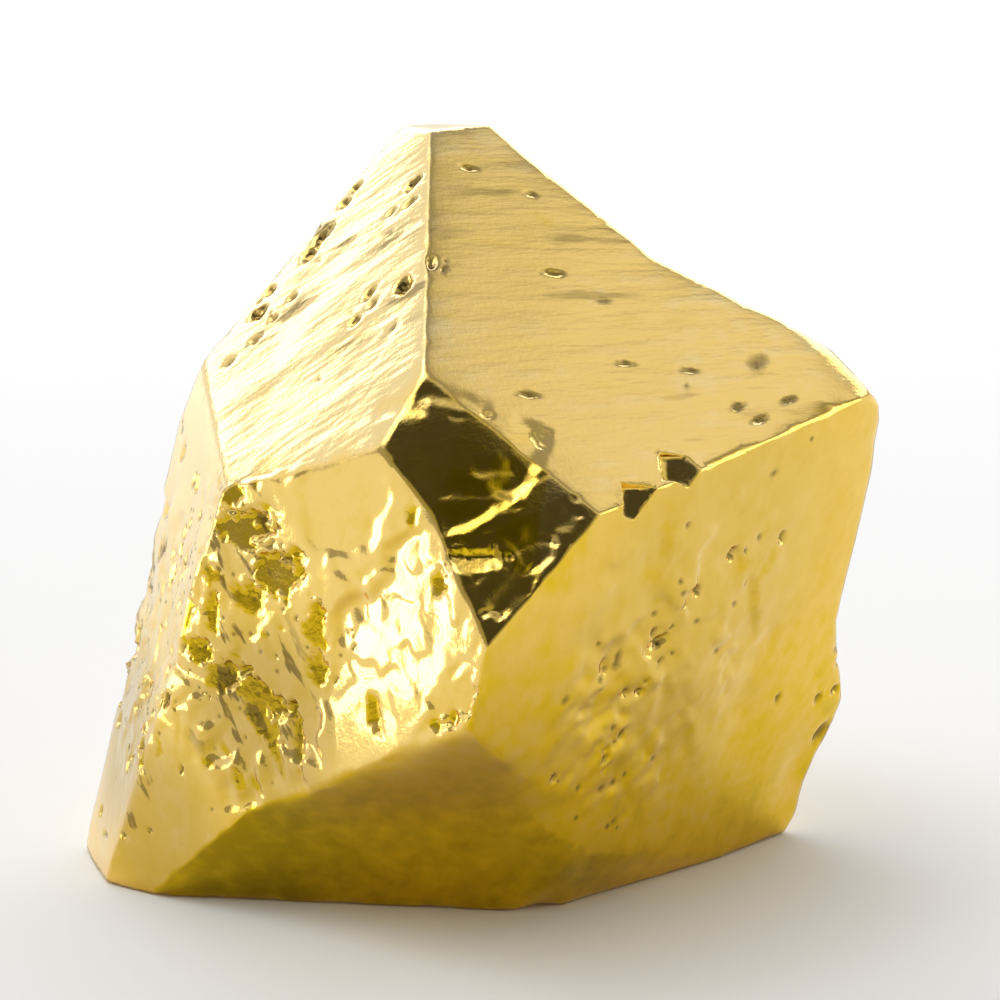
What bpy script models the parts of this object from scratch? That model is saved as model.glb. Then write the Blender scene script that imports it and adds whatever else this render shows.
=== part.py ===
"""Gold nugget: one lump of native gold, 29 mm wide, that rests on a flat face of its own.

A block is cleaved by planes into a many-sided lump. Hollows, each a valley between two faces, are cut
out of it, its faces are covered with even triangles and given low relief, and two nicks are cut from
the ridge over the right cheek. All places are measured from the heart, a point inside the nugget.
"""

import math

import bmesh
import bpy
from mathutils import Vector, noise

MM = 0.001
PART_NAME = "gold_nugget"
NODE_NAME = "nugget"

# The heart stands so that the nugget's box is centred over the origin and its base is at height 0.
HEART = Vector((0.86, 4.86, 12.0)) * MM
BLOCK_SIZE = 60.0 * MM

# Cleaved faces: turn in degrees from the front (+ is to the right), tilt in degrees (+ looks up)
# and reach in millimetres, the distance of the face from the heart.
FACES = {
    "base": (0, -90, 12.0),
    "crown_left": (-51, 42, 12.8),
    "crown_right": (34, 50, 12.1),
    "crown_top": (0, 86, 15.0),
    "brow": (3, 31, 15.2),
    "right_cheek": (47, -14, 11.7),
    "under_right": (40, -34, 13.9),
    "under_far_right": (50, -71, 14.6),
    "left_flank": (-71, 13, 12.8),
    "left_back": (-114, 12, 10.1),
    "crown_back_left": (-116, 32, 10.0),
    "right_shoulder": (110, 33, 12.2),
    "right_heel": (96, -33, 15.5),
    "crown_back": (172, 47, 9.9),
    "back_left": (-152, -6, 6.2),
    "back_right": (152, -12, 6.4),
    "back_foot": (-176, -42, 9.6),
}

# Hollows: two faces that meet in a valley, given in the same way.
HOLLOWS = {
    "front_step": ((-34, -1, 14.2), (-44, 5, 13.1)),
    "front_cove": ((-7, -28, 14.4), (-5, -50, 13.7)),
    "right_waist": ((112, -6, 10.7), (98, 13, 10.9)),
    "crown_saddle": ((124, 37, 8.1), (120, 60, 10.4)),
}

# Uneven ground: middle and radius of the area, height and grain of its lumps, in millimetres.
ROUGH_GROUND = {
    "left_front": ((-9.0, -11.5, -3.0), 9.0, 0.26, 2.3),
    "front_step": ((-3.5, -15.5, -2.0), 4.5, 0.20, 2.0),
    "left_flank": ((-13.0, -5.0, -3.0), 8.0, 0.22, 2.6),
    "right_cheek": ((8.5, -8.5, -3.5), 10.0, 0.14, 4.2),
    "crown_left": ((-6.5, -7.0, 9.0), 7.0, 0.10, 3.0),
    "crown_right": ((5.0, -5.0, 9.5), 9.0, 0.07, 4.5),
    "brow": ((0.0, -15.0, 4.0), 4.0, 0.08, 2.5),
    "back": ((0.0, 7.0, 0.0), 17.0, 0.30, 3.6),
}
LUMP_OCTAVES = 3
LUMP_FADE = 0.9
LUMP_STEP = 2.1

# Shallow bowls (-) and swellings (+): middle, radius and height in millimetres.
BOWLS = {
    "heel_bite": ((11.8, -2.5, -9.6), 2.2, -0.4),
    "cheek_swell": ((8.0, -10.0, -2.0), 5.0, 0.35),
    "back_bowl": ((3.0, 7.0, -3.0), 5.5, -1.3),
    "back_swell": ((-5.0, 6.0, 1.0), 4.5, 0.6),
    "side_bowl": ((-12.0, 2.5, -4.0), 4.5, -0.7),
}

# Nicks: middle of the back wall, width and height in millimetres. The wall looks the way the brow does.
NICKS = {
    "nick_long": ((6.6, -12.0, 4.2), 2.6, 1.1),
    "nick_short": ((4.6, -13.8, 3.5), 1.3, 1.1),
}
NICK_DEPTH = 3.0 * MM

# Within this height the relief fades out, so that the base stays flat.
BASE_MARGIN = 1.6 * MM
BASE_KEPT = 0.1

# The longest edge that each round of splitting leaves, in lengths of the final triangle's edge.
TRIANGLE_EDGE = 0.95 * MM
SPLIT_ROUNDS = (9.6, 4.8, 2.4, 1.7, 1.4)
SPLITS_PER_ROUND = 3
FLAT_ANGLE = math.radians(3)
RIDGE_ANGLE = math.radians(9)
SHARP_ANGLE = math.radians(18)
VALLEY_RINGS = 2
VALLEY_PASSES = 8
RIDGE_WEAR = 0.2

GOLD_COLOUR = (1.0, 0.69, 0.20, 1.0)
GOLD_ROUGHNESS = 0.25


def direction(turn, tilt):
    """Unit vector of a face that looks turn degrees right of the front and tilt degrees up."""
    turn = math.radians(turn)
    tilt = math.radians(tilt)
    return Vector((math.cos(tilt) * math.sin(turn), -math.cos(tilt) * math.cos(turn), math.sin(tilt)))


def from_heart(place):
    """A place given in millimetres from the heart, as a point of the scene."""
    return HEART + Vector(place) * MM


def new_block():
    """A bmesh cube around the heart, larger than the nugget."""
    bm = bmesh.new()
    bmesh.ops.create_cube(bm, size=BLOCK_SIZE)
    bmesh.ops.translate(bm, verts=bm.verts, vec=HEART)
    return bm


def cleave(bm, face, keep_outside=False):
    """Cut the block with one plane, drop one side and close the cut with a flat face."""
    turn, tilt, reach = face
    normal = direction(turn, tilt)
    cut = bmesh.ops.bisect_plane(
        bm,
        geom=bm.verts[:] + bm.edges[:] + bm.faces[:],
        dist=1e-7,
        plane_co=HEART + normal * reach * MM,
        plane_no=normal,
        clear_outer=not keep_outside,
        clear_inner=keep_outside,
    )
    rim = [piece for piece in cut["geom_cut"] if isinstance(piece, bmesh.types.BMEdge)]
    if rim:
        bmesh.ops.edgeloop_fill(bm, edges=rim)


def mesh_object(name, bm, collection):
    """Turn a bmesh into an object of the collection."""
    bmesh.ops.recalc_face_normals(bm, faces=bm.faces[:])
    mesh = bpy.data.meshes.new(name)
    bm.to_mesh(mesh)
    bm.free()
    thing = bpy.data.objects.new(name, mesh)
    collection.objects.link(thing)
    return thing


def cutter_object(name, bm, collection):
    """An object that is only used to cut with."""
    cutter = mesh_object(name + "_cutter", bm, collection)
    cutter.hide_render = True
    cutter.display_type = "WIRE"
    return cutter


def cleaved_lump(collection):
    """The convex lump that all the cleaved faces leave."""
    bm = new_block()
    for face in FACES.values():
        cleave(bm, face)
    return mesh_object(NODE_NAME, bm, collection)


def hollow_cutter(name, faces, collection):
    """The wedge outside both faces of a hollow."""
    bm = new_block()
    for face in faces:
        cleave(bm, face, keep_outside=True)
    return cutter_object(name, bm, collection)


def nick_cutter(name, middle, width, height, collection):
    """A small box whose back wall becomes the back of a nick."""
    bm = bmesh.new()
    bmesh.ops.create_cube(bm, size=1.0)
    bmesh.ops.translate(bm, verts=bm.verts, vec=(0.0, 0.0, 0.5))
    bmesh.ops.scale(bm, verts=bm.verts, vec=(width * MM, height * MM, NICK_DEPTH))
    cutter = cutter_object(name, bm, collection)
    brow_turn, brow_tilt, _ = FACES["brow"]
    cutter.rotation_euler = direction(brow_turn, brow_tilt).to_track_quat("Z", "Y").to_euler()
    cutter.location = from_heart(middle)
    return cutter


def cut_away(lump, cutter):
    """Take the cutter's volume from the lump."""
    boolean = lump.modifiers.new(cutter.name, "BOOLEAN")
    boolean.operation = "DIFFERENCE"
    boolean.solver = "EXACT"
    boolean.object = cutter


def apply_modifiers(lump):
    """Replace the lump's mesh by its evaluated mesh."""
    evaluated = lump.evaluated_get(bpy.context.evaluated_depsgraph_get())
    mesh = bpy.data.meshes.new_from_object(evaluated)
    lump.modifiers.clear()
    lump.data = mesh
    mesh.name = NODE_NAME


def edit_mesh(lump, *steps):
    """Run the steps one after the other on the lump's mesh."""
    bm = bmesh.new()
    bm.from_mesh(lump.data)
    for step in steps:
        step(bm)
    bm.to_mesh(lump.data)
    bm.free()


def smooth(bm, verts, factor):
    """Move vertices towards their neighbours."""
    bmesh.ops.smooth_vert(bm, verts=verts, factor=factor, use_axis_x=True, use_axis_y=True, use_axis_z=True)


def split_faces(bm):
    """Split every face into triangles."""
    bmesh.ops.triangulate(bm, faces=[face for face in bm.faces if len(face.verts) > 3])


def refine(bm):
    """Split long edges until the faces are covered with even triangles."""
    split_faces(bm)
    for times in SPLIT_ROUNDS:
        for _ in range(SPLITS_PER_ROUND):
            long_edges = [edge for edge in bm.edges if edge.calc_length() > times * TRIANGLE_EDGE]
            if not long_edges:
                break
            bmesh.ops.subdivide_edges(bm, edges=long_edges, cuts=1)
            split_faces(bm)
            even_out(bm)


def even_out(bm):
    """Turn and relax the triangles inside flat faces, leaving the ridges where they are."""
    flat = [edge for edge in bm.edges if edge.calc_face_angle(1.0) < FLAT_ANGLE]
    bmesh.ops.beautify_fill(bm, faces=bm.faces[:], edges=flat)
    creased = [edge for edge in bm.edges if edge.calc_face_angle(1.0) >= FLAT_ANGLE]
    held = {vert for edge in creased for vert in edge.verts}
    smooth(bm, [vert for vert in bm.verts if vert not in held], 0.5)


def soften(bm):
    """Wear the valleys round and take the sharpness off the ridges."""
    creased = [edge for edge in bm.edges if edge.calc_face_angle(0.0) > RIDGE_ANGLE]
    ridges = {vert for edge in creased if edge.is_convex for vert in edge.verts}
    valleys = {vert for edge in creased if not edge.is_convex for vert in edge.verts}
    for _ in range(VALLEY_RINGS):
        valleys |= {edge.other_vert(vert) for vert in valleys for edge in vert.link_edges}
    worn = [vert for vert in bm.verts if vert in valleys and vert not in ridges]
    for _ in range(VALLEY_PASSES):
        smooth(bm, worn, 0.5)
    smooth(bm, [vert for vert in bm.verts if vert in ridges], RIDGE_WEAR)


def falloff(distance, radius):
    """1 in the middle of an area, easing to 0 at its rim."""
    share = max(0.0, 1.0 - (distance / radius) ** 2)
    return share * share


def lumps(place):
    """Uneven ground with lumps about one unit across."""
    return noise.fractal(place, LUMP_FADE, LUMP_STEP, LUMP_OCTAVES)


def ground_height(point):
    """Height in metres of the relief at a point of the surface."""
    place = (point - HEART) / MM
    height = 0.0
    for middle, radius, lump_height, grain in ROUGH_GROUND.values():
        strength = falloff((place - Vector(middle)).length, radius)
        if strength > 0.0:
            height += strength * lump_height * lumps(place / grain)
    for middle, radius, bowl_height in BOWLS.values():
        height += falloff((place - Vector(middle)).length, radius) * bowl_height
    return height * MM


def raise_relief(bm):
    """Move the surface out or in, less and less towards the flat base."""
    bm.normal_update()
    moves = []
    for vert in bm.verts:
        above_base = min(1.0, max(0.0, vert.co.z / BASE_MARGIN - BASE_KEPT))
        moves.append(vert.normal * ground_height(vert.co) * above_base)
    for vert, move in zip(bm.verts, moves):
        vert.co += move


def stand_on_origin(bm):
    """Put the middle of the nugget's box exactly over the origin and its base at height 0."""
    low = Vector([min(vert.co[axis] for vert in bm.verts) for axis in range(3)])
    high = Vector([max(vert.co[axis] for vert in bm.verts) for axis in range(3)])
    shift = Vector((-(low.x + high.x) / 2, -(low.y + high.y) / 2, -low.z))
    bmesh.ops.translate(bm, verts=bm.verts, vec=shift)


def gold():
    """Bright native gold."""
    material = bpy.data.materials.new("gold")
    material.use_nodes = True
    shader = material.node_tree.nodes["Principled BSDF"]
    shader.inputs["Base Color"].default_value = GOLD_COLOUR
    shader.inputs["Metallic"].default_value = 1.0
    shader.inputs["Roughness"].default_value = GOLD_ROUGHNESS
    return material


def new_collection(name):
    """An empty collection in the scene."""
    collection = bpy.data.collections.new(name)
    bpy.context.scene.collection.children.link(collection)
    return collection


def build():
    """Model the nugget in its own collection, with the cutters in another."""
    for thing in list(bpy.data.objects):
        bpy.data.objects.remove(thing, do_unlink=True)
    cutters = new_collection(PART_NAME + "_cutters")
    lump = cleaved_lump(new_collection(PART_NAME))
    for name, faces in HOLLOWS.items():
        cut_away(lump, hollow_cutter(name, faces, cutters))
    apply_modifiers(lump)
    edit_mesh(lump, refine, soften, raise_relief)
    for name, (middle, width, height) in NICKS.items():
        cut_away(lump, nick_cutter(name, middle, width, height, cutters))
    apply_modifiers(lump)
    edit_mesh(lump, split_faces, stand_on_origin)
    lump.data.materials.append(gold())
    lump.data.shade_smooth()
    lump.data.set_sharp_from_angle(angle=SHARP_ANGLE)


build()
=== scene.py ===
"""The gold nugget's looks: a finer copy of its solid with pits, scoops, ledges and torn ground.

Places and lengths on the nugget are in millimetres, in the frame of the solid. The skin is worked at that
scale and brought back to metres at the end.
"""

import math
import random

import bmesh
import bpy
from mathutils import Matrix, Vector, kdtree, noise

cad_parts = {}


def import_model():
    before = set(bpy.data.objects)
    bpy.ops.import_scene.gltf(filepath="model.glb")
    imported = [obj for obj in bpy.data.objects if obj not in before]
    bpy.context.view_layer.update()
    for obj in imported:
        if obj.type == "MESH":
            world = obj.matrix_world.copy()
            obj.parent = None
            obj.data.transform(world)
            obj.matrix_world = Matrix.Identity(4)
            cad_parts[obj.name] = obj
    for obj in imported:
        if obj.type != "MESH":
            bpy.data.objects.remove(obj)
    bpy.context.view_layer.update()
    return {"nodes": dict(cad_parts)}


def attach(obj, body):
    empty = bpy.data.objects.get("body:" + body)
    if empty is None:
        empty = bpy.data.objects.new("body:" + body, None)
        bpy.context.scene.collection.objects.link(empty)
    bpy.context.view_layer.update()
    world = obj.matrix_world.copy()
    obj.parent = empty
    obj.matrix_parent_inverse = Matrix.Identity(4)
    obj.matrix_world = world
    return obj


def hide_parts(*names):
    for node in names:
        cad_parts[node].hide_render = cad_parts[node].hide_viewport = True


MM = 0.001

# Camera: the point it looks at, its distance from there, how far down it looks and its lens.
CAMERA_TARGET = Vector((0.86, 3.86, 12.9)) * MM
CAMERA_DISTANCE = 104.0 * MM
CAMERA_TILT = math.radians(12)
CAMERA_LENS = 100.0
CAMERA_SENSOR = 36.0
CAMERA_CLIP = (0.001, 10.0)

FLOOR_SIZE = 6.0
FLOOR_WHITE = 0.92
FLOOR_ROUGHNESS = 0.6

# Room light. Directions are a turn from the camera to the right and a lift from level, in degrees. Each
# region has its middle, the angle within which it is full, the angle at which it ends and its light.
ROOM_LIGHT = 0.90
ROOM_REGIONS = (
    ((-48, 14), 20, 31, 0.38),
    ((28, 16), 24, 44, 0.46),
    ((4, 41), 12, 42, 0.058),
    ((0, 90), 8, 16, 1.3),
    ((-100, 62), 8, 20, 4.4),
    ((-150, 66), 8, 20, 1.4),
    ((-45, 68), 8, 20, 2.4),
    ((150, 30), 14, 30, 0.7),
    ((124, 54), 30, 46, 0.34),
    ((116, 50), 3, 22, 0.87),
    ((-62, 56), 6, 16, 1.8),
    ((-126, 34), 22, 40, 0.95),
    ((-126, 33), 3, 24, 0.84),
    ((92, 8), 9, 16, 2.6),
)
BACKDROP_LIGHT = 0.82

# Softboxes: name, middle, the point that each faces, width, height, light and the angle that it spreads
# over. One stands low on the left, close to the nugget, and one lights the floor behind it.
SOFTBOXES = (
    ("left_strip", (-0.042, 0.030, 0.01275), (0.0, 0.030, 0.022), 0.088, 0.0185, 0.40, 60),
    ("backdrop_light", (0.0, 0.75, 0.42), (0.0, 0.75, 0.0), 1.6, 0.8, 1.6, 180),
)

# Painted shading: places where the colour is made deeper, a painted shade for the dark room or shaded floor
# that they mirror, and painted dulling: places where it is duller for that shade, as middle, radius, how
# much, and the turn and lift that the ground there faces. A patch below 0 is paler, a painted light. The
# dulling is full within a share of its radius.
SHADING_PATCHES = (
    ((0.5, -10.2, 15.8), 6.4, 0.40, (3, 31)),
    ((2.2, -1.0, 24.0), 7.0, 0.25, (34, 50)),
    ((4.5, -6.5, 2.0), 6.0, 0.28, (20, -30)),
    ((-3.5, -7.0, 2.4), 12.0, 0.25, (-7, -35)),
    ((-8.4, -5.6, 2.4), 8.0, 0.55, (-7, -28)),
    ((9.0, -5.0, 11.0), 10.0, -0.16, (47, -14)),
)
# Painted dulling: the olive of mirrored shade laid on the left front, the flank and the cheek.
DULLING_PATCHES = (
    ((-8.0, -6.3, 13.6), 3.4, 0.20, (-34, -1)),
    ((-7.4, -6.8, 7.6), 5.0, 0.36, (-34, -1)),
    ((-11.6, -3.8, 3.0), 4.6, 0.34, (-34, -1)),
    ((-12.8, -1.0, 5.0), 5.0, 0.34, (-71, 13)),
    ((8.5, -5.5, 12.0), 9.0, 0.16, (47, -14)),
)
PAINT_TURNED = math.cos(math.radians(32))
PAINT_LEVEL = math.cos(math.radians(18))
DULLING_FULL = 0.3
# The floors of the dark scoops get this share of painted shade.
SCOOP_SHADING = 0.42
# The painted shading is kept in this layer of the skin.
PAINTED_SHADING_LAYER = "painted_shading"

# Painted shade: the dark olive that gold shows where it mirrors shade, painted into the pits, onto the
# dulled ground and into the painted marks.
SHADE_OLIVE = (0.17, 0.11, 0.03)
PIT_SHADE_SHARE = 0.9
PAINTED_DARK_LAYER = "painted_dark"

# Painted marks: thin streaks of painted shade, the olive that gold shows where it mirrors dark. Each kind
# has the side that it runs on, as a turn and a lift, its course, how short the course is made, the scale of
# its noise, and the noise at which a mark begins and at which it is full. The noise of them all has its
# detail and roughness. Marked ground has a middle, a radius and the share of painted shade in its marks,
# which is full within a share of the radius.
PAINTED_MARKS = (
    ((34, 50), (0.82, 0.56, -0.10), 0.16, 1000.0, 0.56, 0.68),
    ((-51, 42), (0.75, -0.28, 0.60), 0.25, 1000.0, 0.56, 0.66),
    ((-34, -1), (0.45, -0.30, -0.84), 0.35, 1100.0, 0.54, 0.62),
)
PAINTED_MARK_NOISE = (3.0, 0.6)
PAINTED_MARK_GROUND = (
    ((3.0, -1.0, 23.0), 5.0, 0.45),
    ((6.5, -3.6, 19.4), 5.0, 0.45),
    ((-6.5, 0.5, 22.0), 4.5, 0.80),
    ((-3.5, -3.0, 22.0), 4.0, 0.60),
    ((-8.4, -6.0, 13.8), 3.0, 0.85),
    ((-8.0, -6.2, 8.6), 4.0, 0.85),
    ((-12.4, -2.6, 3.2), 2.6, 0.80),
)
PAINTED_MARK_FULL = 0.6
PAINTED_MARK_LAYER = "painted_marked"

# Gold: the base colour comes from a depth, which runs from 0 to the deepest. It grows with how far a patch
# faces the shaded side and with how low it lies, partly a deeper tone and partly a painted shade for the
# shaded floor that the low front faces mirror, and the painted shading, blotches and streaks add to it.
SHADED_SIDE = (0.35, -0.88, -0.32)
SHADED_SIDE_SHARE = 0.8
SHADED_LOW_SHARE = 0.25
SHADED_HEIGHT = 20.0 * MM
GOLD_DEPTHS = (
    (0.00, (0.98, 0.76, 0.36)),
    (0.30, (0.98, 0.69, 0.22)),
    (0.50, (0.98, 0.69, 0.20)),
    (0.63, (0.93, 0.63, 0.13)),
    (0.82, (0.88, 0.58, 0.085)),
    (0.97, (0.84, 0.55, 0.015)),
    (1.40, (0.42, 0.28, 0.006)),
)
DEEPEST = 1.4

# Fine relief, blotches and shine of the skin: noises as scale, detail and roughness, and a blotch has its
# share of the depth of colour too. Streaks are drawn out along a course on one side: each kind has its
# side, as a turn and a lift, its course, how short the course is made, the scale of its noise, its share of
# the relief and how much paler its crests are painted, a painted highlight along the streaks. A side fades
# in between two angles, and its streaks and painted marks are drawn out where this share of it is reached.
SKIN_RELIEF = 0.02 * MM
GRAIN = (5200.0, 2.0, 0.6)
GRAIN_SHARE = 0.3
STREAKS = (
    ((34, 50), (0.82, 0.56, -0.10), 0.14, 1500.0, 1.6, 0.5),
    ((-51, 42), (0.75, -0.28, 0.60), 0.28, 760.0, 3.8, 0.2),
    ((-71, 13), (0.20, 0.20, 0.96), 0.14, 2600.0, 1.0, 0.2),
    ((172, 47), (0.95, 0.10, -0.20), 0.14, 1900.0, 1.4, 0.3),
)
STREAK_NOISE = (3.0, 0.58)
SIDE_FADE = (math.cos(math.radians(35)), math.cos(math.radians(12)))
DRAWN_FROM = 0.3
NOISE_MIDDLE = 0.5
PATCHES = (420.0, 3.0, 0.6)
BLOTCHES = (
    (330.0, 4.0, 0.6, 0.45),
    (1300.0, 3.0, 0.6, 0.45),
)
SMOOTHEST = 0.06
ROUGHEST = 0.20

# Where a blend of each kind gives its result and takes its two values.
BLEND_SOCKETS = {"FLOAT": (0, 2, 3), "VECTOR": (1, 4, 5), "RGBA": (2, 6, 7)}

# Skin: the solid's corners closer than this are one, its faces are all split this many times, and creases
# above this angle are ridges.
WELD = 1e-6
SPLITS = 2
RIDGE_ANGLE = math.radians(16)
RELAX_PASSES = 4
FINE_RELAX_PASSES = 2
SMOOTHING = 0.5
RIDGE_WEAR = 0.4

# The ground below the first height isn't smoothed, and relief fades in between the two others.
HELD_HEIGHT = 0.05
RELIEF_HEIGHTS = (0.1, 1.0)

# Rounded corners: places where the ridges were knocked round, as middle, radius and rounds of wear.
ROUNDED = (
    ((13.2, -1.6, 17.5), 3.4, 1),
    ((1.2, 0.5, 26.9), 2.4, 1),
    ((2.4, -8.0, 6.0), 3.4, 3),
    ((3.2, -6.4, 2.6), 3.2, 3),
)

# Ground that is split finer than the rest: middle and radius.
FINE_GROUND = (
    ((-8.5, -5.0, 13.0), 4.2),
    ((-9.5, -4.0, 7.5), 4.6),
    ((-4.5, -8.8, 10.5), 4.0),
    ((-2.0, -10.5, 12.0), 3.8),
    ((1.5, -10.5, 16.0), 4.2),
    ((5.5, -12.0, 16.0), 1.6),
)

# Rims: the ring, in half lengths and half widths, at which a dent starts to end and at which it has ended.
# A ragged rim has a noise added to its ring, as its share and fineness. A spot reaches this many half
# lengths.
FLAT_REACH = 1.3
FLAT_RIM = (0.8, 1.1)
FLAT_RAGGED = (0.3, 1.1)
DENT_REACH = 1.5
PIT_RIM = (0.1, 1.1)
PIT_RAGGED = (0.3, 4.0)
LEDGE_RAGGED = (0.12, 2.0)

# Flats: broad even patches, as place, half length, half width, lean of the long side from level in degrees
# and the direction that the patch faces, as a turn and a lift like those of the room light.
FLATS = (
    ((-7.0, -7.0, 11.4), 6.6, 3.6, 80, (-34, -3)),
    ((-4.4, -8.8, 15.8), 2.4, 1.8, 80, (-32, -2)),
    ((-2.7, -10.4, 10.5), 5.4, 2.4, 62, (-45, 6)),
)
FLAT_STRENGTH = 0.9
FLAT_LEVEL = math.cos(math.radians(15))
FLAT_TURNED = math.cos(math.radians(28))

# Scoops: dents with a flat floor, as place, half length, half width, lean of the long side from level in
# degrees and the direction that the floor faces, as a turn and a lift like those of the room light. Floors
# that face the ways named here mirror the dark of the room, the light above and the strip on the left.
TO_ROOM = (-26, 9)
TO_SKY = (2, 43)
TO_STRIP = (-48, 7)
DARK_SCOOPS = (
    ((-8.2, -6.2, 15.4), 0.74, 0.55, 80, TO_ROOM),
    ((-8.0, -6.4, 14.0), 1.26, 0.60, 15, TO_ROOM),
    ((-6.8, -7.1, 12.6), 1.20, 0.74, 25, TO_ROOM),
    ((-7.7, -6.5, 11.6), 0.84, 0.60, 60, TO_ROOM),
    ((-5.9, -7.6, 13.4), 0.43, 0.36, 20, TO_ROOM),
    ((-9.1, -5.8, 12.2), 0.62, 0.41, 30, (-30, 8)),
    ((-10.0, -4.8, 10.6), 1.02, 0.29, 80, (-32, 8)),
    ((-9.0, -5.6, 10.8), 0.90, 0.36, 80, TO_ROOM),
    ((-9.7, -5.1, 9.4), 0.72, 0.48, 10, TO_ROOM),
    ((-5.3, -8.1, 10.9), 1.02, 0.48, 85, (-27, 8)),
    ((-5.3, -8.1, 9.5), 0.84, 0.43, 75, TO_ROOM),
    ((-8.9, -6.0, 8.7), 1.02, 0.50, 20, TO_ROOM),
    ((-7.6, -6.6, 8.2), 1.32, 0.54, -15, TO_ROOM),
    ((-7.4, -6.8, 7.2), 1.08, 0.50, -50, TO_ROOM),
    ((-7.0, -7.0, 6.4), 1.14, 0.29, -65, TO_ROOM),
    ((-6.1, -7.6, 6.9), 1.32, 0.29, -80, TO_ROOM),
    ((-6.6, -7.3, 7.8), 0.60, 0.24, 60, TO_ROOM),
    ((-7.2, -7.0, 10.5), 0.31, 0.19, -30, TO_ROOM),
    ((-6.6, -7.4, 10.9), 0.24, 0.17, 0, TO_ROOM),
    ((-5.8, -7.9, 11.1), 0.34, 0.22, 0, TO_ROOM),
    ((-8.3, -6.3, 9.6), 0.26, 0.17, 0, TO_ROOM),
    ((-8.7, -5.8, 6.0), 0.38, 0.22, -30, TO_ROOM),
    ((-9.4, -5.3, 5.5), 0.29, 0.22, 0, TO_ROOM),
    ((-8.2, -6.2, 5.0), 0.72, 0.26, -70, (-28, 8)),
    ((-7.6, -6.6, 4.9), 0.54, 0.24, -60, TO_ROOM),
    ((-7.3, -6.9, 15.7), 0.43, 0.22, 80, TO_ROOM),
    ((-6.3, -7.6, 16.2), 0.31, 0.19, 80, TO_ROOM),
    ((-6.9, -7.2, 15.0), 0.36, 0.22, 0, TO_ROOM),
    ((-2.1, -10.5, 15.2), 0.60, 0.24, 80, TO_ROOM),
    ((-1.2, -11.3, 13.3), 0.55, 0.38, 80, TO_ROOM),
    ((-3.4, -9.8, 8.7), 0.66, 0.43, -50, TO_ROOM),
    ((-1.3, -11.8, 8.8), 0.54, 0.24, 0, TO_ROOM),
    ((-0.8, -12.2, 9.2), 0.31, 0.19, 60, TO_ROOM),
    ((-11.3, 0.4, 13.3), 0.36, 0.26, 0, (-55, 5)),
    ((-10.6, 0.1, 15.5), 0.41, 0.29, 70, (-50, 5)),
    ((-9.8, -2.6, 14.9), 0.34, 0.24, 90, (-40, 5)),
    ((-12.0, 1.1, 11.1), 0.72, 0.30, 90, (-50, 0)),
    ((-11.9, -3.4, 5.1), 0.66, 0.24, 80, (-40, 5)),
    ((-11.2, -4.0, 5.6), 0.48, 0.24, 90, (-30, 5)),
)
PALE_SCOOPS = (
    ((-0.7, -12.2, 10.1), 1.14, 0.90, 70, (-36, -3)),
    ((-6.5, -7.3, 8.6), 0.90, 0.12, 48, TO_STRIP),
    ((-7.2, -6.8, 7.3), 0.60, 0.10, 75, TO_STRIP),
    ((-6.4, -7.5, 6.6), 0.80, 0.10, 80, TO_STRIP),
    ((-9.3, -5.5, 10.8), 0.90, 0.14, 68, TO_STRIP),
    ((-7.9, -6.4, 15.4), 0.40, 0.10, 85, TO_STRIP),
    ((-4.8, -8.5, 10.8), 0.60, 0.16, 85, TO_STRIP),
    ((0.1, -11.5, 14.1), 0.95, 0.40, 8, (2, 42)),
    ((-0.6, -11.3, 14.7), 0.40, 0.20, 0, (0, 39)),
    ((0.4, -12.3, 12.6), 0.60, 0.16, 30, (0, 39)),
    ((-0.4, -9.1, 18.3), 0.43, 0.17, -10, (2, 40)),
    ((0.6, -8.8, 18.4), 0.41, 0.17, -10, (2, 40)),
    ((3.3, -10.3, 15.8), 0.36, 0.24, 40, TO_SKY),
    ((2.3, -9.0, 17.7), 0.50, 0.26, 100, TO_SKY),
    ((2.2, -10.2, 16.6), 0.55, 0.14, 35, (3, 40)),
    ((1.2, -10.7, 15.6), 0.60, 0.15, 30, (3, 39)),
    ((2.4, -11.1, 14.6), 0.55, 0.15, 40, (3, 40)),
    ((1.7, -11.5, 13.7), 0.50, 0.14, 42, (3, 41)),
    ((0.4, -11.0, 15.0), 0.45, 0.13, 25, (3, 39)),
)

# The edge of a scoop is this wide, inside a rim that noises of these sizes and shares make ragged. A floor
# is sunk by a share of its own fall, and its painted shade fades in between two shares of the scoop's mask.
SCOOP_EDGE = 0.15
SCOOP_RIM = (1.1, 1.15)
SCOOP_RAGGED = ((0.45, 0.45), (0.20, 0.35), (0.11, 0.2))
SCOOP_SHADING_FADE = (0.5, 1.0)
DARK_SINK = 0.62
PALE_SINK = 0.35

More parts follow.
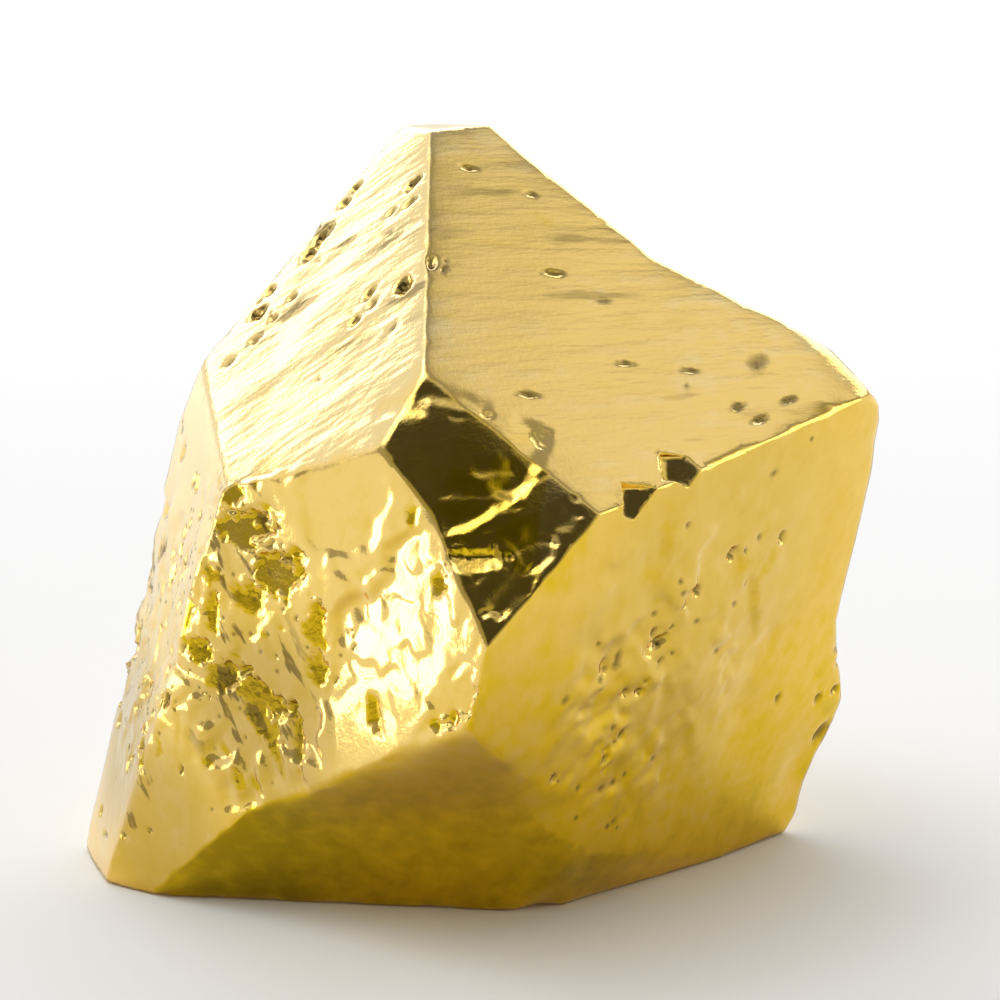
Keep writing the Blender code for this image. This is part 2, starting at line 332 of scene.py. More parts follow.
# Pits: small deep holes, as place, half length, half width, lean of the long side and depth. The ground is
# split finer within this many half lengths of them.
PIT_GROUND = 1.6
PITS = (
    ((-2.5, -4.1, 22.1), 0.48, 0.43, 60, 0.34),
    ((-1.5, -3.8, 22.8), 0.43, 0.22, 80, 0.16),
    ((-3.7, -3.2, 21.6), 0.50, 0.20, 85, 0.18),
    ((-4.1, -3.9, 20.8), 0.38, 0.20, 80, 0.18),
    ((-2.2, 0.0, 25.1), 0.54, 0.22, 70, 0.20),
    ((-2.3, -0.7, 24.5), 0.55, 0.19, 60, 0.10),
    ((-3.0, -0.5, 24.1), 0.41, 0.18, 70, 0.10),
    ((-4.4, 2.2, 24.8), 0.41, 0.24, 80, 0.18),
    ((-4.7, 1.9, 24.2), 0.43, 0.24, 80, 0.20),
    ((-5.5, 1.2, 23.1), 0.74, 0.29, 80, 0.26),
    ((-5.9, 0.9, 22.5), 0.55, 0.31, 75, 0.26),
    ((-7.4, 0.8, 21.2), 0.38, 0.24, 80, 0.16),
    ((-7.8, 0.3, 20.5), 0.55, 0.29, 60, 0.20),
    ((-6.5, -0.4, 21.1), 0.31, 0.18, 60, 0.10),
    ((-7.2, -0.6, 20.4), 0.26, 0.18, 60, 0.10),
    ((-7.8, -0.8, 19.7), 0.41, 0.22, 60, 0.12),
    ((-0.2, 0.9, 25.6), 0.45, 0.17, -10, 0.10),
    ((2.0, 1.0, 24.7), 0.40, 0.15, -8, 0.07),
    ((2.7, -2.0, 22.2), 0.62, 0.16, -8, 0.10),
    ((1.8, -7.4, 18.9), 0.60, 0.16, -15, 0.06),
    ((4.5, -2.1, 21.3), 0.46, 0.13, -8, 0.05),
    ((5.1, -4.4, 19.4), 0.62, 0.13, -8, 0.05),
    ((7.4, -3.4, 19.0), 0.56, 0.12, -8, 0.05),
    ((9.8, -4.1, 17.4), 0.66, 0.15, 12, 0.08),
    ((10.9, -2.7, 17.8), 0.56, 0.14, 12, 0.07),
    ((8.9, -4.8, 12.9), 0.36, 0.24, 60, 0.26),
    ((10.7, -2.6, 12.9), 0.31, 0.24, 100, 0.22),
    ((7.7, -5.8, 11.8), 0.26, 0.19, 60, 0.16),
    ((7.2, -6.2, 11.3), 0.22, 0.14, 30, 0.10),
    ((6.3, -6.6, 10.1), 0.50, 0.24, 25, 0.26),
    ((5.1, -7.1, 8.5), 0.22, 0.19, 90, 0.18),
    ((5.6, -6.7, 8.4), 0.26, 0.19, 30, 0.18),
    ((4.9, -6.6, 6.9), 0.26, 0.19, 70, 0.10),
    ((12.8, 2.2, 5.7), 0.29, 0.24, 80, 0.16),
    ((13.5, 3.0, 5.7), 0.24, 0.31, 80, 0.16),
    ((2.7, -8.6, 5.9), 0.22, 0.19, 80, 0.14),
    ((-13.9, 0.2, 1.9), 0.36, 0.24, 60, 0.16),
    ((-13.6, -1.1, 1.4), 0.40, 0.16, 10, 0.12),
    ((-12.7, -3.0, 2.0), 0.34, 0.16, -20, 0.10),
    ((-11.6, -3.8, 2.5), 0.22, 0.14, -20, 0.08),
    ((-11.9, -3.2, 5.5), 0.50, 0.22, 80, 0.18),
    ((-12.5, -2.0, 4.5), 0.44, 0.20, 80, 0.16),
    ((-13.2, 0.6, 5.3), 0.44, 0.20, 80, 0.16),
    ((-10.9, -4.3, 7.5), 0.40, 0.20, 80, 0.14),
    ((4.4, -6.9, 6.1), 0.31, 0.19, 60, 0.14),
)

# Scattered pits: middle and radius of the area, how many, half length, lean of the long side and depth.
SCATTER = (
    ((-7.6, -6.6, 10.6), 4.6, 70, 0.13, 60, 0.06),
    ((-7.0, 0.5, 21.0), 3.2, 14, 0.26, 65, 0.09),
    ((-4.0, -3.0, 21.5), 3.6, 8, 0.26, 65, 0.07),
    ((9.5, -3.4, 17.8), 3.0, 5, 0.46, 12, 0.05),
    ((5.0, -7.2, 8.0), 3.6, 15, 0.18, 50, 0.09),
    ((8.0, -5.4, 11.8), 3.4, 12, 0.15, 50, 0.08),
    ((6.0, -6.0, 5.0), 3.0, 8, 0.16, 50, 0.07),
    ((-10.8, -3.6, 5.5), 3.0, 22, 0.24, 80, 0.10),
    ((-11.0, -1.0, 13.5), 4.5, 26, 0.24, 80, 0.09),
    ((-12.0, 6.0, 10.0), 7.0, 20, 0.50, 70, 0.14),
    ((-5.0, 9.0, 18.0), 6.0, 12, 0.46, 60, 0.12),
    ((0.0, 12.5, 9.0), 8.0, 24, 0.54, 60, 0.16),
    ((11.0, 6.0, 8.0), 7.0, 16, 0.42, 70, 0.12),
    ((8.0, 6.0, 20.0), 6.0, 12, 0.42, 10, 0.10),
)
SCATTER_SEED = 11

# A scattered pit's size, as the smallest and how far above it the largest is, its narrowness and its turn.
PIT_SIZES = (0.4, 1.3)
PIT_NARROW = (0.3, 0.7)
PIT_TURN = 18.0

# Chips: small bright flats, as middle and radius of the area, how many, size and where they face.
CHIPS = (
    ((4.1, -8.1, 8.6), 1.5, 16, 0.34, (46, 12)),
    ((4.2, -7.3, 6.0), 1.5, 12, 0.28, (46, 12)),
    ((6.2, -4.8, 4.6), 2.0, 8, 0.22, (46, 12)),
    ((9.8, -3.8, 12.6), 1.3, 7, 0.26, (46, 10)),
    ((6.6, -6.4, 10.2), 2.4, 6, 0.18, (46, 10)),
    ((12.8, 1.5, 8.0), 2.6, 8, 0.24, (60, 12)),
    ((12.5, 6.8, 8.5), 4.6, 14, 0.80, (106, 2)),
    ((7.0, 10.0, 8.0), 6.0, 18, 1.00, (152, -10)),
    ((-4.0, 11.0, 10.0), 6.5, 22, 1.10, (-152, -4)),
    ((-11.0, 5.5, 10.0), 6.0, 20, 1.00, (-114, 12)),
    ((-5.5, 5.5, 20.5), 4.5, 12, 0.90, (-118, 32)),
    ((2.0, 6.5, 20.0), 4.5, 12, 0.80, (172, 47)),
    ((8.5, 5.5, 19.5), 4.0, 12, 0.90, (118, 42)),
    ((-12.0, 0.5, 9.0), 4.0, 10, 0.70, (-71, 10)),
)
CHIP_TURN = 7.0
CHIP_SIZES = (0.6, 1.3)
CHIP_NARROW = (0.4, 0.8)
CHIP_LEAN = (20.0, 110.0)

# Ledges: narrow slopes along a line, with their width, drop and run. The ground right of the line's
# direction lies lower by the drop, and comes back to its level over the run.
LEDGES = (
    (((2.5, -8.8, 17.7), (2.1, -9.6, 17.1), (1.9, -10.0, 16.6), (1.5, -10.3, 16.1)), 0.60, 0.105, 1.2),
    (((1.7, -10.2, 16.3), (0.9, -10.6, 15.7), (0.2, -10.8, 15.2), (-0.6, -10.9, 14.9)), 0.50, 0.075, 0.9),
    (((3.3, -10.6, 15.3), (2.4, -11.0, 14.8), (1.5, -11.3, 14.4)), 0.40, 0.05, 0.7),
    (((2.6, -11.2, 14.5), (2.0, -11.5, 13.8), (1.8, -11.9, 13.2), (1.0, -12.3, 12.6)), 0.50, 0.085, 0.9),
    (((-1.9, -9.2, 18.6), (-2.9, -8.7, 18.3)), 0.45, 0.065, 0.7),
    (((0.3, -8.9, 18.6), (-0.9, -8.9, 18.9), (-1.9, -8.9, 19.0)), 0.40, 0.05, 0.6),
    (((1.2, -9.9, 16.7), (0.2, -10.0, 16.6)), 0.36, 0.04, 0.5),
    (((0.9, -10.3, 16.0), (-0.9, -10.4, 15.9)), 0.32, 0.035, 0.5),
)

# Facets: torn ground of small tilted flats, as middle and radius of the area, width of a flat and slope.
# The ground is torn in full within a share of the radius. The flats' borders are warped by a noise, as its
# fineness and its share of the width, and a step between two flats is spread over a share of the width.
FACETS = (
    ((-8.6, -6.2, 13.6), 3.4, 1.10, 0.012),
    ((-8.8, -5.6, 9.4), 3.8, 0.90, 0.02),
    ((-2.6, -10.4, 11.8), 4.4, 0.90, 0.02),
    ((-11.6, -1.2, 9.0), 6.0, 0.90, 0.05),
    ((7.5, -5.5, 9.5), 7.5, 1.60, 0.035),
    ((5.0, -7.0, 7.6), 4.6, 0.60, 0.05),
    ((-12.0, 6.0, 10.0), 7.0, 1.10, 0.10),
    ((-2.0, 12.0, 12.0), 9.0, 1.30, 0.10),
    ((7.0, 10.0, 8.0), 8.0, 1.10, 0.08),
)
FACET_SEED = 7
FEWEST_FACETS = 4
FACET_FULL = 0.6
FACET_TILT = 1.6
FACET_WARP = (1.4, 0.45)
FACET_STEP = 0.05
FACET_JOIN = 0.22


def facing(turn, lift):
    """The direction at this turn from the camera to the right and this lift from level, in degrees."""
    turn, lift = math.radians(turn), math.radians(lift)
    return Vector((math.sin(turn) * math.cos(lift), -math.cos(turn) * math.cos(lift), math.sin(lift)))


def camera():
    """A long lens a hand's width in front of the nugget, looking slightly down on it."""
    look = Vector((0.0, math.cos(CAMERA_TILT), -math.sin(CAMERA_TILT)))
    lens = bpy.data.cameras.new("camera")
    lens.lens = CAMERA_LENS
    lens.sensor_width = CAMERA_SENSOR
    lens.clip_start, lens.clip_end = CAMERA_CLIP
    holder = bpy.data.objects.new("camera", lens)
    holder.location = CAMERA_TARGET - look * CAMERA_DISTANCE
    holder.rotation_euler = look.to_track_quat("-Z", "Y").to_euler()
    bpy.context.scene.collection.objects.link(holder)
    bpy.context.scene.camera = holder


def area_light(name, place, target, width, height, radiance, spread):
    """A softbox that the nugget mirrors but the camera doesn't see."""
    data = bpy.data.lights.new(name, "AREA")
    data.shape = "RECTANGLE"
    data.size = width
    data.size_y = height
    data.energy = radiance * math.pi * width * height
    data.spread = math.radians(spread)
    box = bpy.data.objects.new(name, data)
    box.location = place
    box.rotation_euler = (Vector(target) - Vector(place)).to_track_quat("-Z", "Y").to_euler()
    box.visible_camera = False
    bpy.context.scene.collection.objects.link(box)


def put(tree, value, socket):
    """Link another node's value to the socket, or set the socket to a plain value."""
    if isinstance(value, bpy.types.NodeSocket):
        tree.links.new(value, socket)
    else:
        socket.default_value = value


def math_node(tree, operation, *values):
    node = tree.nodes.new("ShaderNodeMath")
    node.operation = operation
    for socket, value in zip(node.inputs, values):
        put(tree, value, socket)
    return node.outputs[0]


def vector_node(tree, operation, first, second):
    """What the operation makes of two vectors, or of a vector and the number that scales it."""
    node = tree.nodes.new("ShaderNodeVectorMath")
    node.operation = operation
    put(tree, first, node.inputs[0])
    put(tree, second, node.inputs["Scale"] if operation == "SCALE" else node.inputs[1])
    return node.outputs["Value"] if operation == "DOT_PRODUCT" else node.outputs["Vector"]


def range_node(tree, value, source, result=(0.0, 1.0), interpolation="SMOOTHSTEP"):
    """The value carried from the source range to the result range, and held at its ends."""
    node = tree.nodes.new("ShaderNodeMapRange")
    node.interpolation_type = interpolation
    for name, number in zip(("From Min", "From Max", "To Min", "To Max"), (*source, *result)):
        node.inputs[name].default_value = number
    tree.links.new(value, node.inputs["Value"])
    return node.outputs["Result"]


def blend(tree, factor, first, second, kind="FLOAT"):
    """The first value where the factor is 0 and the second where it is 1."""
    node = tree.nodes.new("ShaderNodeMix")
    node.data_type = kind
    output, first_input, second_input = BLEND_SOCKETS[kind]
    put(tree, factor, node.inputs[0])
    put(tree, first, node.inputs[first_input])
    put(tree, second, node.inputs[second_input])
    return node.outputs[output]


def ramp(tree, factor, stops):
    node = tree.nodes.new("ShaderNodeValToRGB")
    elements = node.color_ramp.elements
    while len(elements) < len(stops):
        elements.new(0.5)
    for element, (position, colour) in zip(elements, stops):
        element.position = position
        element.color = (*colour, 1.0)
    tree.links.new(factor, node.inputs["Fac"])
    return node.outputs["Color"]


def noise_node(tree, place, scale, detail, roughness):
    node = tree.nodes.new("ShaderNodeTexNoise")
    node.inputs["Scale"].default_value = scale
    node.inputs["Detail"].default_value = detail
    node.inputs["Roughness"].default_value = roughness
    tree.links.new(place, node.inputs["Vector"])
    return node.outputs["Fac"]


def layer_node(tree, name):
    node = tree.nodes.new("ShaderNodeAttribute")
    node.attribute_name = name
    return node.outputs["Fac"]


def cap(tree, direction, middle, edge, rim):
    """1 within the edge angle of the middle direction, 0 past the rim angle, with a smooth fall between."""
    toward = vector_node(tree, "DOT_PRODUCT", direction, facing(*middle))
    angle = math_node(tree, "ARCCOSINE", toward)
    return range_node(tree, angle, (math.radians(edge), math.radians(rim)), (1.0, 0.0))


def world():
    """A pale room with a bright wall behind the nugget and the dark of the room behind the camera."""
    room = bpy.data.worlds.new("room")
    room.use_nodes = True
    tree = room.node_tree
    tree.nodes.clear()
    output = tree.nodes.new("ShaderNodeOutputWorld")
    background = tree.nodes.new("ShaderNodeBackground")
    direction = tree.nodes.new("ShaderNodeTexCoord").outputs["Generated"]
    light = ROOM_LIGHT
    for middle, edge, rim, region_light in ROOM_REGIONS:
        light = blend(tree, cap(tree, direction, middle, edge, rim), light, region_light)
    seen = tree.nodes.new("ShaderNodeLightPath").outputs["Is Camera Ray"]
    light = blend(tree, seen, light, BACKDROP_LIGHT)
    tree.links.new(light, background.inputs["Strength"])
    background.inputs["Color"].default_value = (1.0, 1.0, 1.0, 1.0)
    tree.links.new(background.outputs[0], output.inputs["Surface"])
    bpy.context.scene.world = room


def floor():
    """White paper that the nugget rests on."""
    bm = bmesh.new()
    bmesh.ops.create_grid(bm, x_segments=1, y_segments=1, size=FLOOR_SIZE / 2)
    mesh = bpy.data.meshes.new("floor")
    bm.to_mesh(mesh)
    bm.free()
    ground = bpy.data.objects.new("floor", mesh)
    material = bpy.data.materials.new("floor_paper")
    material.use_nodes = True
    shader = material.node_tree.nodes["Principled BSDF"]
    shader.inputs["Base Color"].default_value = (*[FLOOR_WHITE] * 3, 1.0)
    shader.inputs["Roughness"].default_value = FLOOR_ROUGHNESS
    shader.inputs["Specular IOR Level"].default_value = 0.0
    mesh.materials.append(material)
    bpy.context.scene.collection.objects.link(ground)


def side_share(tree, normal, side):
    """1 where the skin faces this turn and lift, and 0 where it faces well away."""
    toward = vector_node(tree, "DOT_PRODUCT", normal, facing(*side))
    return range_node(tree, toward, SIDE_FADE, interpolation="LINEAR")


def drawn_out(tree, place, course, shortened, scale):
    """The place scaled, and shortened along the course, so that a noise there is drawn out along it."""
    along = vector_node(tree, "DOT_PRODUCT", place, course)
    taken = vector_node(tree, "SCALE", course, math_node(tree, "MULTIPLY", along, shortened - 1.0))
    return vector_node(tree, "SCALE", vector_node(tree, "ADD", place, taken), scale)


def drawn_noise(tree, place, normal, kinds, detail, roughness):
    """The share of each kind's side, and one noise that is drawn out along the course of each side."""
    shares = [side_share(tree, normal, side) for side, *_ in kinds]
    drawn = place
    for share, (_, course, shortened, scale, *_) in zip(shares, kinds):
        here = math_node(tree, "GREATER_THAN", share, DRAWN_FROM)
        drawn = blend(tree, here, drawn, drawn_out(tree, place, course, shortened, scale), "VECTOR")
    return shares, noise_node(tree, drawn, 1.0, detail, roughness)


def product(tree, *values):
    """All the values multiplied, first to last."""
    result, *others = values
    for value in others:
        result = math_node(tree, "MULTIPLY", result, value)
    return result


def gold():
    """Native gold: paler on top and deeper toward the lower front, partly its tone and partly painted
    shade.
    """
    material = bpy.data.materials.new("native_gold")
    material.use_nodes = True
    tree = material.node_tree
    shader = tree.nodes["Principled BSDF"]
    shader.inputs["Metallic"].default_value = 1.0
    normal = tree.nodes.new("ShaderNodeNewGeometry").outputs["Normal"]
    place = tree.nodes.new("ShaderNodeTexCoord").outputs["Object"]
    split_place = tree.nodes.new("ShaderNodeSeparateXYZ")
    tree.links.new(place, split_place.inputs["Vector"])
    # Painted shade: the colour is made deeper low down and on faces turned to the lower front, which mirror
    # the shaded floor.
    fade = -SHADED_LOW_SHARE / SHADED_HEIGHT
    low = math_node(tree, "MULTIPLY_ADD", split_place.outputs["Z"], fade, SHADED_LOW_SHARE)
    toward = vector_node(tree, "DOT_PRODUCT", normal, SHADED_SIDE)
    depth = math_node(tree, "MULTIPLY_ADD", toward, SHADED_SIDE_SHARE, low)
    depth = math_node(tree, "ADD", depth, layer_node(tree, PAINTED_SHADING_LAYER))
    for *blotch_noise, share in BLOTCHES:
        blotch = math_node(tree, "SUBTRACT", noise_node(tree, place, *blotch_noise), NOISE_MIDDLE)
        depth = math_node(tree, "ADD", depth, product(tree, blotch, share))
    height = product(tree, noise_node(tree, place, *GRAIN), GRAIN_SHARE)
    shares, streak = drawn_noise(tree, place, normal, STREAKS, *STREAK_NOISE)
    streak = math_node(tree, "SUBTRACT", streak, NOISE_MIDDLE)
    # Painted highlight: the streaks' crests are made paler in colour as well as raised.
    for share, (*_, relief, painted_sheen) in zip(shares, STREAKS):
        height = math_node(tree, "ADD", height, product(tree, streak, share, relief))
        depth = math_node(tree, "SUBTRACT", depth, product(tree, streak, share, painted_sheen))
    # Painted shade: thin dark marks drawn in the olive of mirrored dark.
    painted_marked, painted_dark = layer_node(tree, PAINTED_MARK_LAYER), layer_node(tree, PAINTED_DARK_LAYER)
    shares, marks = drawn_noise(tree, place, normal, PAINTED_MARKS, *PAINTED_MARK_NOISE)
    for share, (*_, begins, full) in zip(shares, PAINTED_MARKS):
        painted_mark = product(tree, range_node(tree, marks, (begins, full)), share, painted_marked)
        painted_dark = math_node(tree, "MAXIMUM", painted_dark, painted_mark)
    stops = [(stop / DEEPEST, tone) for stop, tone in GOLD_DEPTHS]
    colour = ramp(tree, math_node(tree, "DIVIDE", depth, DEEPEST), stops)
    # Painted shade: the olive of mirrored dark laid over the colour in the pits, the dulled ground and the
    # marks.
    colour = blend(tree, painted_dark, colour, (*SHADE_OLIVE, 1.0), "RGBA")
    tree.links.new(colour, shader.inputs["Base Color"])
    bump = tree.nodes.new("ShaderNodeBump")
    bump.inputs["Distance"].default_value = SKIN_RELIEF
    bump.inputs["Strength"].default_value = 1.0
    tree.links.new(height, bump.inputs["Height"])
    tree.links.new(bump.outputs["Normal"], shader.inputs["Normal"])
    patches = noise_node(tree, place, *PATCHES)
    rough = range_node(tree, patches, (0.0, 1.0), (SMOOTHEST, ROUGHEST), "LINEAR")
    tree.links.new(rough, shader.inputs["Roughness"])
    return material


def ease(low, high, value):
    """0 below low, 1 above high and a smooth rise between them."""
    share = min(1.0, max(0.0, (value - low) / (high - low)))
    return share * share * (3.0 - 2.0 * share)


def split(bm, faces):
    """Halve every edge of the faces and leave triangles."""
    edges = dict.fromkeys(edge for face in faces for edge in face.edges)
    bmesh.ops.subdivide_edges(bm, edges=list(edges), cuts=1)
    bmesh.ops.triangulate(bm, faces=[face for face in bm.faces if len(face.verts) > 3])


def smooth(bm, verts, factor, rounds):
    """Draw these corners toward the middle of their neighbours, except those that lie on the base."""
    free = [vert for vert in verts if vert.co.z > HELD_HEIGHT]
    for _ in range(rounds):
        bmesh.ops.smooth_vert(
            bm, verts=free, factor=factor, use_axis_x=True, use_axis_y=True, use_axis_z=True
        )


def on_ridges(bm):
    return {vert for edge in bm.edges if edge.calc_face_angle(0.0) > RIDGE_ANGLE for vert in edge.verts}


def relax(bm, passes):
    """Smooth the ground between the ridges."""
    ridges = on_ridges(bm)
    smooth(bm, [vert for vert in bm.verts if vert not in ridges], SMOOTHING, passes)


def round_corners(bm):
    """Smooth the ridges and the ground together at the rounded corners."""
    for middle, radius, rounds in ROUNDED:
        around = [vert for vert in bm.verts if (vert.co - Vector(middle)).length < radius]
        smooth(bm, around, SMOOTHING, rounds)


def near(faces, spots):
    """The faces whose middle lies inside one of the spots."""
    found = []
    for face in faces:
        middle = face.calc_center_median()
        if any((middle - Vector(place)).length < radius for place, radius in spots):
            found.append(face)
    return found


class Spot:
    """A place on the skin with directions along and across a dent, and the corners around it."""

    def __init__(self, tree, verts, place, reach, lean=0.0):
        _, self.index, _ = tree.find(Vector(place))
        self.place = verts[self.index].co.copy()
        self.indices = [index for _, index, _ in tree.find_range(self.place, reach)]
        self.normal = sum((verts[index].normal for index in self.indices), Vector()).normalized()
        right = Vector((0.0, 0.0, 1.0)).cross(self.normal).normalized()
        up = self.normal.cross(right)
        turns = (math.radians(lean), math.radians(lean + 90))
        self.along, self.across = (right * math.cos(turn) + up * math.sin(turn) for turn in turns)

    def ring(self, offset, half_length, half_width):
        """How far out the offset lies in a dent of this size, where 1 is its rim."""
        return math.hypot(offset.dot(self.along) / half_length, offset.dot(self.across) / half_width)


def ragged(place, share, fineness):
    return share * noise.noise(place * fineness)


def press_flats(heights, tree, verts):
    """Bring the ground of the flats toward planes."""
    for place, half_length, half_width, lean, patch_faces in FLATS:
        spot = Spot(tree, verts, place, half_length * FLAT_REACH, lean)
        normal = facing(*patch_faces)
        for index in spot.indices:
            offset = verts[index].co - spot.place
            ring = spot.ring(offset, half_length, half_width) + ragged(verts[index].co, *FLAT_RAGGED)
            mask = FLAT_STRENGTH * (1.0 - ease(*FLAT_RIM, ring))
            mask *= ease(FLAT_TURNED, FLAT_LEVEL, verts[index].normal.dot(normal))
            level = -offset.dot(normal) / spot.normal.dot(normal)
            heights[index] += mask * (level - heights[index])


def sink_scoops(scoops, sink, shade_paint, heights, painted_shading, tree, verts):
    """Sink a tilted floor into the ground at each scoop, and paint shade on the floor."""
    dents = [0.0] * len(heights)
    for place, half_length, half_width, lean, floor_faces in scoops:
        spot = Spot(tree, verts, place, half_length * DENT_REACH, lean)
        normal = facing(*floor_faces)
        fall = -(normal - spot.normal * normal.dot(spot.normal)) / normal.dot(spot.normal)
        sunk = sink * math.hypot(fall.dot(spot.along) * half_length, fall.dot(spot.across) * half_width)
        sunk -= heights[spot.index]
        for index in spot.indices:
            offset = verts[index].co - spot.place
            ring = spot.ring(offset, half_length, half_width)
            for size, share in SCOOP_RAGGED:
                ring += share * noise.noise(verts[index].co / size)
            mask = 1.0 - ease(SCOOP_RIM[0] - SCOOP_EDGE / half_width, SCOOP_RIM[1], ring)
            level = fall.dot(offset) - sunk - offset.dot(spot.normal) - heights[index]
            dents[index] = min(dents[index], mask * level)
            # Painted shade: the floor of a dark scoop is made deeper in colour, on top of the dark it
            # mirrors.
            if level < 0.0:
                painted_shading[index] = max(painted_shading[index], shade_paint * ease(*SCOOP_SHADING_FADE, mask))
    for index, dent in enumerate(dents):
        heights[index] += dent


def scattered_pits(tree, verts):
    """Pits at seeded random places, smaller ones more often."""
    draw = random.Random(SCATTER_SEED)
    smallest, spread = PIT_SIZES
    pits = []
    for middle, radius, count, half_length, lean, depth in SCATTER:
        inside = [index for _, index, _ in tree.find_range(Vector(middle), radius)]
        for _ in range(count):
            place = verts[draw.choice(inside)].co
            size = smallest + spread * draw.random() ** 3
            narrow = draw.uniform(*PIT_NARROW)
            turn = lean + draw.uniform(-PIT_TURN, PIT_TURN)
            pits.append((place, half_length * size, half_length * size * narrow, turn, depth * size))
    return pits


def scattered_chips(tree, verts):
    """Scoops for the chips, at seeded random places."""
    draw = random.Random(SCATTER_SEED)
    chips = []
    for middle, radius, count, size, chips_face in CHIPS:
        inside = [index for _, index, _ in tree.find_range(Vector(middle), radius)]
        for _ in range(count):
            place = verts[draw.choice(inside)].co
            length = size * draw.uniform(*CHIP_SIZES)
            side = tuple(angle + draw.uniform(-CHIP_TURN, CHIP_TURN) for angle in chips_face)
            width = length * draw.uniform(*CHIP_NARROW)
            chips.append((place, length, width, draw.uniform(*CHIP_LEAN), side))
    return chips


def sink_pits(heights, painted_dark, tree, verts):
    """Sink the placed and the scattered pits, and paint shade in them."""
    for place, half_length, half_width, lean, depth in [*PITS, *scattered_pits(tree, verts)]:
        spot = Spot(tree, verts, place, half_length * DENT_REACH, lean)
        for index in spot.indices:
            ring = spot.ring(verts[index].co - spot.place, half_length, half_width)
            mask = 1.0 - ease(*PIT_RIM, ring + ragged(verts[index].co, *PIT_RAGGED))
            heights[index] -= depth * mask
            # Painted shade in the pits.
            painted_dark[index] = max(painted_dark[index], PIT_SHADE_SHARE * mask)


def cut_ledges(heights, tree, verts):
    """Lower the ground on one side of each line, with a slope at the line."""
    for line, width, drop, run in LEDGES:
        points = [Vector(point) for point in line]
        touched = {}
        for start, end in zip(points, points[1:]):
            spot = Spot(tree, verts, (start + end) / 2, (end - start).length / 2 + run + width)
            course = end - start
            side = course.cross(spot.normal).normalized()
            for index in spot.indices:
                share = (verts[index].co - start).dot(course) / course.length_squared
                share = min(1.0, max(0.0, share))
                offset = verts[index].co - (start + course * share)
                offset -= spot.normal * offset.dot(spot.normal)
                away = offset.length
                if index not in touched or away < abs(touched[index][0]):
                    past_end = abs(offset.dot(course.normalized()))
                    touched[index] = (math.copysign(away, offset.dot(side)), past_end)
        for index, (across, past_end) in touched.items():
            across += ragged(verts[index].co, *LEDGE_RAGGED)
            slope = ease(-width / 2, width / 2, across)
            back = 1.0 - ease(width / 2, width / 2 + run, across)
            heights[index] -= drop * slope * back * (1.0 - ease(0.0, width, past_end))


def tear_facets(heights, tree, verts):
    """Random flats that tilt this way and that, with small steps between them."""
    draw = random.Random(FACET_SEED)
    noise.seed_set(FACET_SEED)
    fineness, warp = FACET_WARP
    for middle, radius, width, slope in FACETS:
        middle = Vector(middle)
        inside = [index for _, index, _ in tree.find_range(middle, radius)]
        count = max(FEWEST_FACETS, round(math.pi * radius * radius / (width * width)))
        seeds = [verts[draw.choice(inside)].co.copy() for _ in range(count)]
        leans = [Vector([draw.uniform(-1.0, 1.0) for _ in range(3)]) for _ in range(count)]
        tilts = [lean * slope * FACET_TILT for lean in leans]
        lifts = [draw.uniform(-FACET_STEP, FACET_STEP) * width for _ in range(count)]
        flats = kdtree.KDTree(count)
        for number, seed in enumerate(seeds):
            flats.insert(seed, number)
        flats.balance()
        for index in inside:
            place = verts[index].co
            warped = place + noise.noise_vector(place * fineness) * width * warp
            nearest = flats.find_n(warped, 2)
            levels = [tilts[number].dot(warped - seeds[number]) + lifts[number] for _, number, _ in nearest]
            settled = ease(0.0, FACET_JOIN * width, nearest[1][2] - nearest[0][2])
            level = levels[0] * (0.5 + 0.5 * settled) + levels[1] * (0.5 - 0.5 * settled)
            heights[index] += level * (1.0 - ease(FACET_FULL, 1.0, (place - middle).length / radius))


def turned_to(vert, side):
    """1 where the corner faces this turn and lift, and 0 where it faces well away."""
    return ease(PAINT_TURNED, PAINT_LEVEL, vert.normal.dot(facing(*side)))


def colour_ground(painted_shading, painted_dark, painted_marked, tree, verts):
    """Note the ground with painted marks, painted shading and painted dulling."""
    # Painted marks: where the olive marks of painted shade are laid.
    for middle, radius, share in PAINTED_MARK_GROUND:
        for _, index, away in tree.find_range(Vector(middle), radius):
            painted_marked[index] = max(painted_marked[index], share * (1.0 - ease(PAINTED_MARK_FULL, 1.0, away / radius)))
    # Painted shade: deeper colour where the ground mirrors the dark, and one painted light where it is
    # paler.
    for middle, radius, strength, side in SHADING_PATCHES:
        strongest = max if strength > 0.0 else min
        for _, index, away in tree.find_range(Vector(middle), radius):
            shade_paint = strength * turned_to(verts[index], side) * (1.0 - ease(0.0, 1.0, away / radius))
            painted_shading[index] = strongest(painted_shading[index], shade_paint)
    # Painted shade: the ground is dulled toward the olive of mirrored dark.
    for middle, radius, strength, side in DULLING_PATCHES:
        for _, index, away in tree.find_range(Vector(middle), radius):
            dull = strength * turned_to(verts[index], side) * (1.0 - ease(DULLING_FULL, 1.0, away / radius))
            painted_dark[index] = max(painted_dark[index], dull)


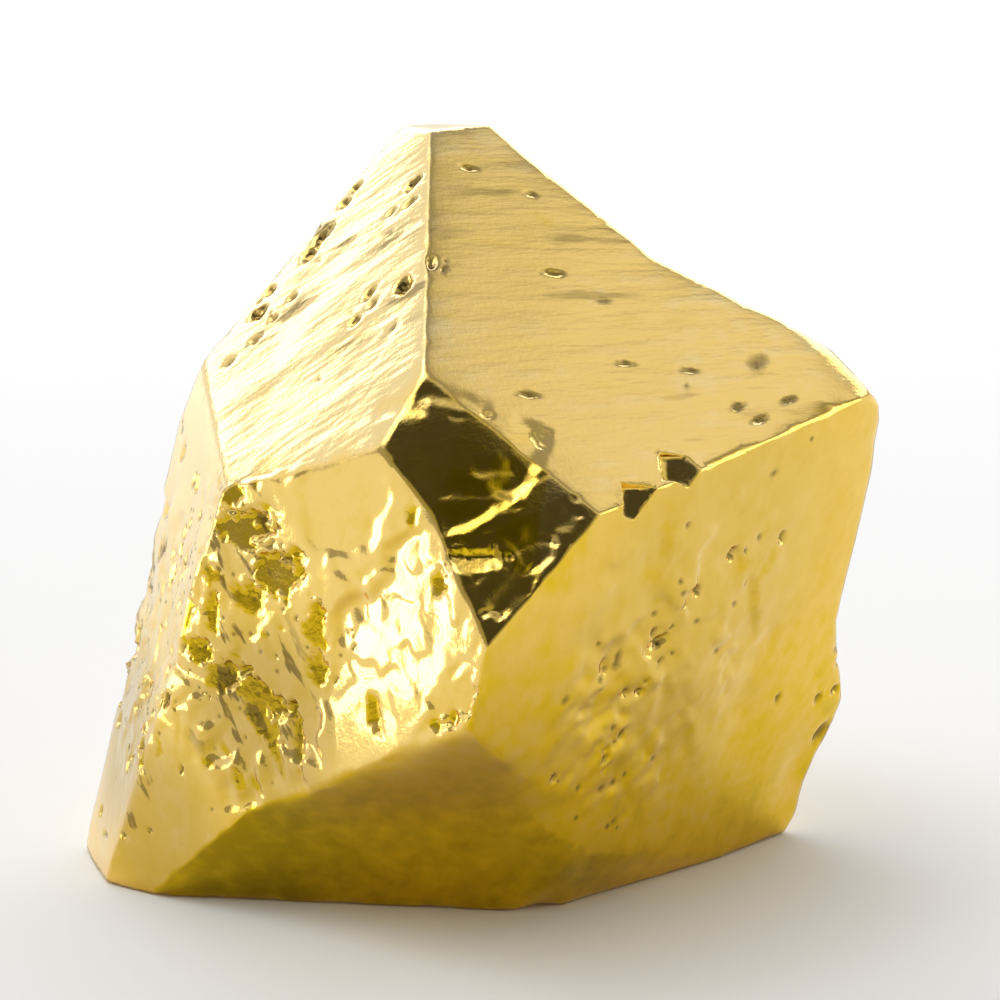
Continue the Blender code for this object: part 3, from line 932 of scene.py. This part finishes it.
def sculpt(bm):
    """Move the skin's corners along their normals, and keep where the skin has painted shading, painted
    dark or painted marks.
    """
    bm.verts.ensure_lookup_table()
    bm.normal_update()
    verts = bm.verts
    tree = kdtree.KDTree(len(verts))
    for vert in verts:
        tree.insert(vert.co, vert.index)
    tree.balance()
    heights, painted_shading, painted_dark, painted_marked = ([0.0] * len(verts) for _ in range(4))
    colour_ground(painted_shading, painted_dark, painted_marked, tree, verts)
    press_flats(heights, tree, verts)
    tear_facets(heights, tree, verts)
    pale_scoops = [*PALE_SCOOPS, *scattered_chips(tree, verts)]
    sink_scoops(pale_scoops, PALE_SINK, 0.0, heights, painted_shading, tree, verts)
    sink_scoops(DARK_SCOOPS, DARK_SINK, SCOOP_SHADING, heights, painted_shading, tree, verts)
    sink_pits(heights, painted_dark, tree, verts)
    cut_ledges(heights, tree, verts)
    for vert, height in zip(verts, heights):
        vert.co += vert.normal * height * ease(*RELIEF_HEIGHTS, vert.co.z)
    for name, shares in ((PAINTED_SHADING_LAYER, painted_shading), (PAINTED_DARK_LAYER, painted_dark), (PAINTED_MARK_LAYER, painted_marked)):
        layer = bm.verts.layers.float.new(name)
        for vert, share in zip(verts, shares):
            vert[layer] = share


def nugget():
    """A finer copy of the solid, worn, sculpted and made of gold, which shows in its place."""
    bm = bmesh.new()
    bm.from_mesh(frame["nodes"]["nugget"].data)
    bmesh.ops.remove_doubles(bm, verts=bm.verts[:], dist=WELD)
    bmesh.ops.scale(bm, verts=bm.verts[:], vec=(1 / MM,) * 3)
    round_corners(bm)
    for _ in range(SPLITS):
        split(bm, bm.faces[:])
        relax(bm, RELAX_PASSES)
    smooth(bm, on_ridges(bm), RIDGE_WEAR, 1)
    split(bm, near(bm.faces, FINE_GROUND))
    split(bm, near(bm.faces, [(place, half_length * PIT_GROUND) for place, half_length, *_ in PITS]))
    relax(bm, FINE_RELAX_PASSES)
    sculpt(bm)
    bmesh.ops.scale(bm, verts=bm.verts[:], vec=(MM,) * 3)
    mesh = bpy.data.meshes.new("nugget_skin")
    bm.to_mesh(mesh)
    bm.free()
    skin = bpy.data.objects.new("nugget_skin", mesh)
    bpy.context.scene.collection.objects.link(skin)
    mesh.materials.append(gold())
    mesh.shade_smooth()
    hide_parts("nugget")
    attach(skin, "root")


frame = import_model()
bpy.context.scene.view_settings.view_transform = "Standard"
camera()
world()
floor()
for softbox in SOFTBOXES:
    area_light(*softbox)
nugget()
